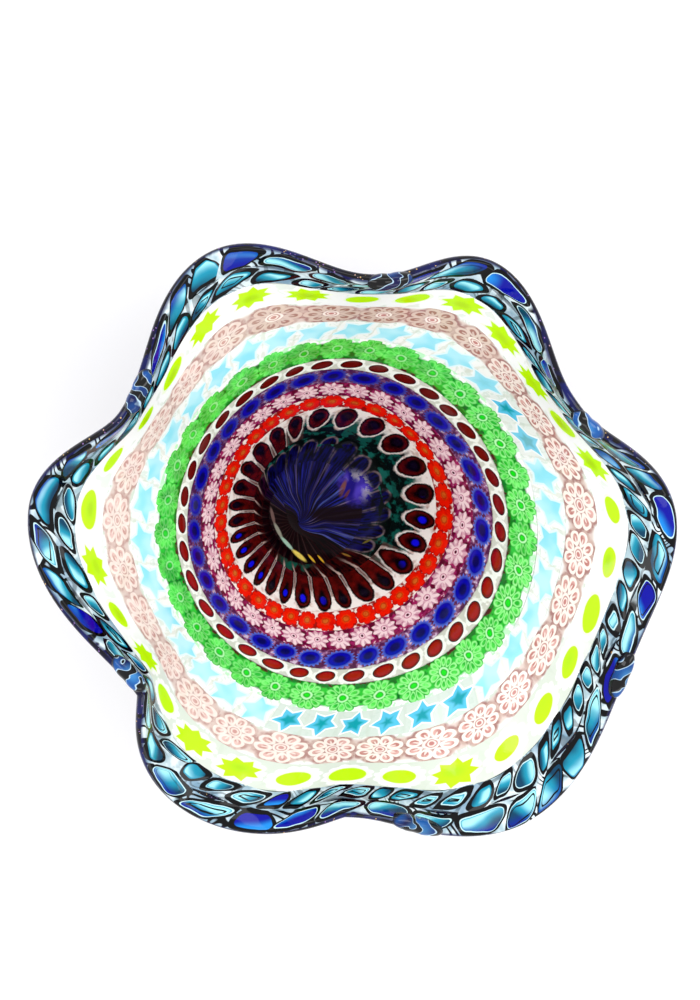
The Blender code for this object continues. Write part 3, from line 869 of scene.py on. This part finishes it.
def rim_material(name, half_width, half_height, cobalt_share, marbled, lip_blue):
    """Teal pebbles of the rim in black outlines, nested on pale blue-grey glass.

    half_width and half_height are a slice's size in millimetres, which keeps the outlines evenly thick.
    marbled is how strong the black waves between the pebbles are, and lip_blue how far pebbles and ground
    turn blue on the side of the lip.
    """
    paint = Painter(name)
    cloud = paint.noise(38.0, 1.0)
    grain = paint.noise(130.0)
    swirls = (paint.noise(26.0, 1.0, distortion=1.2) * 60.0).sin().above(0.35, 0.25)
    paint.wobble(45.0, 0.22)
    paint.wobble(150.0, 0.04)
    skew = paint.x + paint.y * (paint.luck[0] - 0.5) * 0.9
    taper = 1.0 + paint.y * (paint.luck[1] - 0.5) * 1.1
    across = skew * half_width / taper
    along = paint.y * half_height
    distance = pebble(across, along, half_width - 0.6, half_height - 0.5, half_height * 0.86)
    depth = distance / (1.0 + (cloud - 0.5) * 1.8)
    direction = paint.luck[2] * TAU
    slope = (paint.x * direction.cos() + paint.y * direction.sin()) + (cloud - 0.5) * 1.6
    teal = paint.mix(slope.above(-0.34, 0.3), (0.01, 0.24, 0.36), (0.1, 0.58, 0.7))
    teal = paint.mix(slope.above(0.14, 0.26) * depth.below(-3.3, 0.5), teal, (0.66, 0.95, 0.99))
    cobalt = paint.mix(slope.above(0.3, 0.35), (0.01, 0.02, 0.62), (0.1, 0.55, 0.9))
    fill = paint.mix(paint.luck[1].above(1.0 - cobalt_share, 0.02), teal, cobalt)
    turned = paint.y.above(0.3, 0.4) * paint.luck[0].above(0.3, 0.1) * (0.85 * lip_blue)
    fill = paint.mix(turned, fill, (0.02, 0.07, 0.6))
    inlay = (depth + 4.6).abs().below(0.4, 0.15) * paint.luck[0].above(0.74, 0.02)
    fill = paint.mix(inlay, fill, BLACK)
    pale = paint.mix(grain.above(0.48, 0.14), (0.66, 0.76, 0.8), (0.9, 0.95, 0.97))
    ground = paint.mix(cloud.above(0.54, 0.1) * 0.7, pale, (0.4, 0.56, 0.68))
    ground = paint.mix(swirls * cloud.above(0.38, 0.05) * marbled, ground, BLACK)
    ground = paint.mix(paint.y.above(0.86, 0.14) * (0.9 * lip_blue), ground, (0.04, 0.04, 0.3))
    ringed = paint.luck[2].above(0.45, 0.02)
    colour = paint.mix(depth.above(-2.85, 0.12) * ringed, fill, (0.8, 0.95, 0.98))
    colour = paint.mix(depth.above(-2.35, 0.16), colour, BLACK)
    colour = paint.mix(depth.above(0.0, 0.12), colour, ground)
    return paint.done(colour, roughness=0.06, specular=0.16)


def flakes(paint, scale, share):
    """Scattered flakes: a few cells of a fine cell pattern, each with its own tone."""
    cells = paint.tree.nodes.new("ShaderNodeTexVoronoi")
    paint.tree.links.new(paint.place, cells.inputs["Vector"])
    cells.inputs["Scale"].default_value = scale
    tone, pick, _ = paint.split(cells.outputs["Color"])
    near = Value(paint.tree, cells.outputs["Distance"]).below(0.34, 0.06)
    return near * pick.above(1.0 - share, 0.01), tone


def lip_material():
    """The rounded lip: near-black violet glass with blue drifts and a few metal flakes."""
    paint = Painter("lip_glass")
    cloud = paint.noise(40.0)
    base = paint.mix(cloud.above(0.55, 0.14), (0.02, 0.01, 0.07), (0.03, 0.07, 0.36))
    base = paint.mix(paint.noise(90.0).above(0.58, 0.05), base, (0.01, 0.0, 0.02))
    fleck, tone = flakes(paint, 700.0, 0.12)
    base = paint.mix(fleck * 0.8, base, paint.mix(tone.above(0.5, 0.1), LILAC_FLAKE, GOLD_FLAKE))
    return paint.done(base, roughness=0.05, specular=0.2, coat=0.15)


def casing_material():
    """Dark violet-blue glass with gold and pink metal flakes held in it."""
    paint = Painter("aventurine_casing_glass")
    cloud = paint.noise(9.0, 3.0, distortion=1.2)
    veil = paint.noise(30.0, 3.0)
    base = paint.mix(cloud.above(0.5, 0.12), (0.02, 0.01, 0.08), (0.1, 0.03, 0.32))
    base = paint.mix(veil.above(0.56, 0.1) * 0.7, base, (0.02, 0.07, 0.4))
    rim = paint.height.above(150.0, 30.0)
    base = paint.mix(rim * 0.75, base, (0.02, 0.01, 0.11))
    large, large_tone = flakes(paint, 420.0, 0.16)
    small, small_tone = flakes(paint, 900.0, 0.22)
    gold = paint.mix(large_tone.above(0.55, 0.1), (0.86, 0.62, 0.3), (0.8, 0.5, 0.62))
    fine = paint.mix(small_tone.above(0.5, 0.1), LILAC_FLAKE, GOLD_FLAKE)
    drift = paint.noise(16.0).above(0.44, 0.16).most(rim * 0.8)
    mask = (large * drift).most(small * drift * 0.7)
    colour = paint.mix(small * drift * 0.7, base, fine)
    colour = paint.mix(large * drift, colour, gold)
    paint.tree.links.new((mask * 0.85).socket, paint.shader.inputs["Metallic"])
    return paint.done(colour, roughness=0.14, specular=0.22, coat=0.15, ripple=0.0004, ripple_scale=24.0)


def pinch_material():
    """Blue, black and pale bands folded over each knob, with a painted highlight in the middle of the paler
    knobs; knobs of kind 1 are the darker ones.
    """
    paint = Painter("pinched_glass")
    cloud = paint.noise(55.0, 1.0, distortion=0.8)
    capsule = hypot(paint.x * 1.02, paint.y * 1.5)
    turn = paint.luck[0] * TAU
    across = paint.x * turn.cos() + paint.y * turn.sin() * 1.4
    wave = ((across + cloud * 2.2) * (5.0 + paint.luck[1] * 3.0) + paint.luck[2] * TAU).sin()
    base = paint.mix(cloud.above(0.5, 0.16), (0.01, 0.02, 0.26), (0.03, 0.32, 0.62))
    # Painted highlight: a pale blue spot in the middle of each knob that is not of kind 1
    base = paint.mix(capsule.below(0.3, 0.3) * (1.0 - paint.kind) * 0.6, base, (0.3, 0.62, 0.86))
    wave = wave + paint.kind * 0.3
    base = paint.mix(wave.above(0.08, 0.12), base, (0.72, 0.84, 0.92))
    base = paint.mix(wave.above(0.35, 0.08), base, BLACK)
    colour = paint.mix(capsule.above(0.92, 0.08), base, (0.02, 0.02, 0.09))
    return paint.done(colour, roughness=0.05, coat=0.2)


# --- The pieces ---
def settle(piece, material, slot, *nodes):
    """Give a piece its material and its place in the frame."""
    piece.data.materials.append(material)
    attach(piece, BODY)
    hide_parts(*nodes)


def between(angle, start, end, soft):
    """1 for angles from start round to end, easing to 0 over soft degrees on both sides."""
    middle = (start + end) / 2.0
    away = abs((angle - middle + 180.0) % 360.0 - 180.0)
    return min(max(((end - start) / 2.0 - away) / soft + 0.5, 0.0), 1.0)


def in_fan(angle):
    """Slices that are open navy drops; the others are lost in the dark fold."""
    return between(angle, -48.0, 150.0, 16.0)


def has_tail(angle):
    """Maroon slices drawn out to a tail; the others are ovals."""
    return between(angle, 118.0, 318.0, 25.0)


def is_turquoise(angle):
    """The deeper turquoise stars: a run at the front and two at the right."""
    return between(angle, 247.0, 306.0, 2.0) + between(angle, 26.0, 47.0, 2.0)


def is_brown(angle):
    """Rose flowers that are browner than the rest."""
    return between(angle, 52.0, 122.0, 20.0)


# Angles of the lime slices that are stars; the others are ovals
SUN_ANGLES = (17.0, 41.0, 54.5, 66.6, 105.0, 116.0, 127.0, 187.0, 202.0, 226.5, 240.0, 289.6)
SUN_REACH = 5.5


def is_sun(angle):
    return float(min(abs((angle - sun + 180.0) % 360.0 - 180.0) for sun in SUN_ANGLES) < SUN_REACH)


# The three innermost rings share the borders of their slices
INNERMOST = dict(first_angle=-2.0, crowd=(0.33, 15.0), seed=5)
RING_PIECES = (
    # name, its CAD node, material, ring lines, slices, columns, rows, and the rest of make_ring's settings
    ("core_disc", "core_swirl", core_material, (0.02, 1.0), 27, 8, 24,
     dict(INNERMOST, kind=in_fan, dome=0.0)),
    ("navy_drop_ring", "navy_drop_band", navy_material, (1.0, 2.0), 27, 12, 12,
     dict(INNERMOST, kind=in_fan, dome=0.1)),
    ("maroon_eye_ring", "maroon_eye_band", maroon_material, (2.0, 3.0), 27, 12, 18,
     dict(INNERMOST, kind=has_tail)),
    ("orange_flower_ring", "orange_flower_band", orange_material, (3.0, 4.0), 34, 12, 12,
     dict(crowd=(0.2, 20.0), seed=6)),
    ("plum_flower_ring", "plum_flower_band", plum_material, (4.0, 5.0), 32, 12, 12,
     dict(crowd=(0.15, 20.0), seed=7, lean=0.1)),
    ("cobalt_star_ring", "cobalt_star_band", cobalt_material, (5.0, 6.0), 31, 12, 12,
     dict(crowd=(0.08, 20.0), seed=8, lean=-0.1)),
    ("red_oval_ring", "red_oval_band", red_material, (6.0, 7.0), 35, 12, 10, dict(seed=9, lean=-0.2)),
    ("green_flower_ring", "green_flower_band", green_material, (7.0, 8.0), 33, 12, 14,
     dict(seed=10, lean=-0.15)),
    ("aqua_star_ring", "aqua_star_band", aqua_material, (8.0, 9.0), 35, 12, 14,
     dict(seed=11, lean=-0.3, kind=is_turquoise)),
    ("rose_flower_ring", "rose_flower_band", rose_material, (9.0, 10.0), 28, 16, 14,
     dict(seed=12, lean=-0.15, kind=is_brown)),
    ("lime_sun_ring", "lime_sun_band", lime_material, (10.0, 11.0), 30, 16, 12,
     dict(seed=13, lean=-0.2, jitter=0.06, kind=is_sun, dome=0.1)),
)
# Where the pebbles end and the lip's own glass begins, past the top of the rounded edge
CREST = BEAD_LENGTH + HALF_WALL * math.radians(75.0)


def make_rings():
    for name, node, recipe, lines, count, columns, rows, settings in RING_PIECES:
        settle(make_ring(name, lines, count, columns, rows, **settings), recipe(), node, node)
    drops = make_ring("rim_drop_ring", (11.0, 12.0), 60, 12, 14, seed=14, lean=-0.8, jitter=0.2,
                      crowd=(0.2, 140.0), waves=(0.8, 1.8), dome=0.45)
    drop_glass = rim_material("rim_drop_glass", 9.3, 6.8, cobalt_share=0.06, marbled=0.5, lip_blue=0.0)
    settle(drops, drop_glass, "rim_drop_band", "rim_drop_band")
    pebbles = make_ring("rim_pebble_ring", (12.0, 13.0), 44, 16, 22, seed=15, lean=-0.5, jitter=0.24,
                        waves=(1.8, 0.0), dome=0.35, end_length=CREST)
    pebble_glass = rim_material("rim_pebble_glass", 13.6, 7.6, cobalt_share=0.32, marbled=1.0, lip_blue=1.0)
    settle(pebbles, pebble_glass, "rim_pebble_band", "rim_pebble_band")
    lip = make_ring("lip_edge", (12.9, 13.0), 40, 12, 6, seed=16, dome=0.0, start_length=CREST,
                    end_length=BEAD_LENGTH + HALF_WALL * math.pi)
    settle(lip, lip_material(), "lip_bead", "lip_bead")


CASING_COLUMNS = 400
CASING_INNER_ROWS = 24
CASING_OUTER_ROWS = 90
CASING_START = 0.3          # ring line at which the casing's inner face begins, under the core
# Radius and height down round the foot and in across the ground base
FOOT = (
    (41.6, 5.6), (40.6, 3.2), (BASE_RADIUS + BASE_BEVEL, BASE_BEVEL), (BASE_RADIUS + 0.6, 0.35),
    (BASE_RADIUS, 0.0), (BASE_RADIUS * 0.6, 0.0), (4.0, 0.0),
)


def make_casing():
    """The dark outer shell, from its ground base up to the lip."""
    angle = np.arange(CASING_COLUMNS) * 360.0 / CASING_COLUMNS
    inner_lines = np.linspace(CASING_START, line_at(BEAD_LENGTH), CASING_INNER_ROWS)
    outer_lines = np.linspace(line_at(BEAD_LENGTH), 1.0, CASING_OUTER_ROWS)
    grid_angle, grid_line = np.meshgrid(angle, np.concatenate((inner_lines, outer_lines)), indexing="ij")
    depth = np.where(np.arange(grid_line.shape[1]) < len(inner_lines), CASING_INSET, WALL)
    outward = surface_axes(grid_line, grid_angle)[1]
    walls = inner_point(grid_line, grid_angle) + outward * depth[None, :, None]
    turn = np.radians(angle)
    foot = [np.stack((radius * np.cos(turn), radius * np.sin(turn), np.full_like(turn, height)), axis=-1)
            for radius, height in FOOT]
    points = np.concatenate((walls, np.stack(foot, axis=1)), axis=1)
    total, rows = points.shape[:2]
    here = np.arange(total)[:, None] * rows + np.arange(rows - 1)[None, :]
    ahead = np.roll(here, -1, axis=0)
    faces = np.stack((here, ahead, ahead + 1, here + 1), axis=-1).reshape(-1, 4).tolist()
    faces.append([index * rows for index in range(total)][::-1])
    faces.append([index * rows + rows - 1 for index in range(total)])
    piece = finish_mesh("casing_shell", points.reshape(-1, 3), faces)
    settle(piece, casing_material(), "outer_casing", "outer_casing")


def make_pinch(number, centre_angle, dark):
    """A pinched knob: a rounded lump drawn out along the lip, over its crest."""
    along, around = 28, 32
    part = np.linspace(0.0, math.pi, along + 1)
    spin = np.arange(around) * TAU / around - math.pi
    angle = centre_angle + PINCH_HALF_WIDTH * np.cos(part)
    line = np.full_like(angle, line_at(BEAD_LENGTH))
    up_wall, outward = surface_axes(line, angle)
    spine = inner_point(line, angle) + outward * (HALF_WALL - PINCH_SET_IN) + up_wall * PINCH_LIFT
    part = part[1:-1]
    waist = 1.0 - PINCH_WAIST * np.exp(-(np.cos(part) / PINCH_WAIST_SPAN) ** 2)
    size = (np.sin(part) ** PINCH_BLUNTNESS * waist)[:, None, None]
    ring = (up_wall[1:-1, None, :] * (PINCH_RISE * np.cos(spin))[None, :, None]
            + outward[1:-1, None, :] * (PINCH_REACH * np.sin(spin))[None, :, None])
    points = np.concatenate(((spine[1:-1, None, :] + ring * size).reshape(-1, 3), spine[[0, -1]]))
    sections = along - 1
    faces = []
    for row in range(sections - 1):
        low, high = row * around, (row + 1) * around
        for side in range(around):
            ahead = (side + 1) % around
            faces.append((low + side, low + ahead, high + ahead, high + side))
    for side in range(around):
        ahead = (side + 1) % around
        last = (sections - 1) * around
        faces.append((ahead, side, sections * around))
        faces.append((last + side, last + ahead, sections * around + 1))
    piece = finish_mesh(f"pinch_knob_{number}", points, faces)
    coordinates = np.zeros((len(points), 3))
    coordinates[:sections * around, 0] = np.repeat(np.cos(part), around)
    coordinates[:sections * around, 1] = np.tile(spin / math.pi + PINCH_PATTERN_TURN, sections)
    coordinates[sections * around:, 0] = (1.0, -1.0)
    coordinates[:, 2] = dark
    write_attribute(piece.data, "slice", "POINT", coordinates)
    luck = np.random.default_rng(PINCH_SEED + number).random(3)
    write_attribute(piece.data, "luck", "POINT", np.tile(luck, (len(points), 1)))
    return piece


def make_pinches():
    material = pinch_material()
    for number, (angle, dark) in enumerate(zip(PINCH_ANGLES, PINCH_DARKNESS), start=1):
        settle(make_pinch(number, angle, dark), material, "pinch", f"pinch_{number}")


# --- Floor, light and camera ---
FLOOR_RADIUS = 14.0         # metres
FLOOR_CORNERS = 96
LIGHT_TARGET = (0.0, 0.0, 0.1)
LIGHTS = (
    # name, place, width and depth in metres, and watts
    ("soft_left", (-1.3, 0.5, 1.5), 0.5, 1.6, 8.5),
    ("soft_right", (1.3, 0.3, 1.4), 0.5, 1.6, 8.5),
    ("soft_back", (0.0, 1.5, 1.3), 1.6, 0.4, 6.0),
    ("soft_front", (0.2, -1.5, 1.2), 1.6, 0.5, 6.0),
)


def make_floor():
    """A plain pale disc, wide enough to reach past every view."""
    turns = [TAU * corner / FLOOR_CORNERS for corner in range(FLOOR_CORNERS)]
    points = [(FLOOR_RADIUS * math.cos(turn), FLOOR_RADIUS * math.sin(turn), 0.0) for turn in turns]
    mesh = bpy.data.meshes.new("floor")
    mesh.from_pydata(points, [], [tuple(range(FLOOR_CORNERS))])
    floor = bpy.data.objects.new("floor", mesh)
    bpy.context.scene.collection.objects.link(floor)
    material = bpy.data.materials.new("pale_floor")
    material.use_nodes = True
    shader = material.node_tree.nodes["Principled BSDF"]
    shader.inputs["Base Color"].default_value = (0.95, 0.95, 0.96, 1.0)
    shader.inputs["Roughness"].default_value = 0.9
    shader.inputs["Specular IOR Level"].default_value = 0.1
    mesh.materials.append(material)


def area_light(name, place, width, depth, watts):
    data = bpy.data.lights.new(name, "AREA")
    data.shape = "RECTANGLE"
    data.size = width
    data.size_y = depth
    data.energy = watts
    light = bpy.data.objects.new(name, data)
    light.location = place
    light.rotation_euler = (Vector(LIGHT_TARGET) - Vector(place)).to_track_quat("-Z", "Y").to_euler()
    bpy.context.scene.collection.objects.link(light)


def make_light():
    """A white world and four large soft lights."""
    world = bpy.data.worlds.new("studio")
    world.use_nodes = True
    world.node_tree.nodes["Background"].inputs["Color"].default_value = (1.0, 1.0, 1.0, 1.0)
    world.node_tree.nodes["Background"].inputs["Strength"].default_value = 0.97
    bpy.context.scene.world = world
    for light in LIGHTS:
        area_light(*light)
    scene = bpy.context.scene
    scene.view_settings.view_transform = "Standard"
    scene.view_settings.look = "None"


def make_camera():
    """Looking down into the bowl, tilted a little from its axis."""
    tilt_left, tilt_back = math.radians(6.6), math.radians(10.7)
    distance = 0.96
    aim = Vector((-0.0018, 0.0238, 0.15))
    back = Vector((-math.tan(tilt_left), math.tan(tilt_back), 1.0)).normalized()
    right = Vector((0.0, 1.0, 0.0)).cross(back).normalized()
    upward = back.cross(right)
    data = bpy.data.cameras.new("photo_camera")
    data.sensor_width = 36.0
    data.lens = 55.8
    data.clip_end = 20.0
    camera = bpy.data.objects.new("photo_camera", data)
    turned = Matrix((right, upward, back)).transposed().to_4x4()
    camera.matrix_world = Matrix.Translation(aim + back * distance) @ turned
    bpy.context.scene.collection.objects.link(camera)
    bpy.context.scene.camera = camera


make_camera()
make_floor()
make_light()
make_rings()
make_casing()
make_pinches()
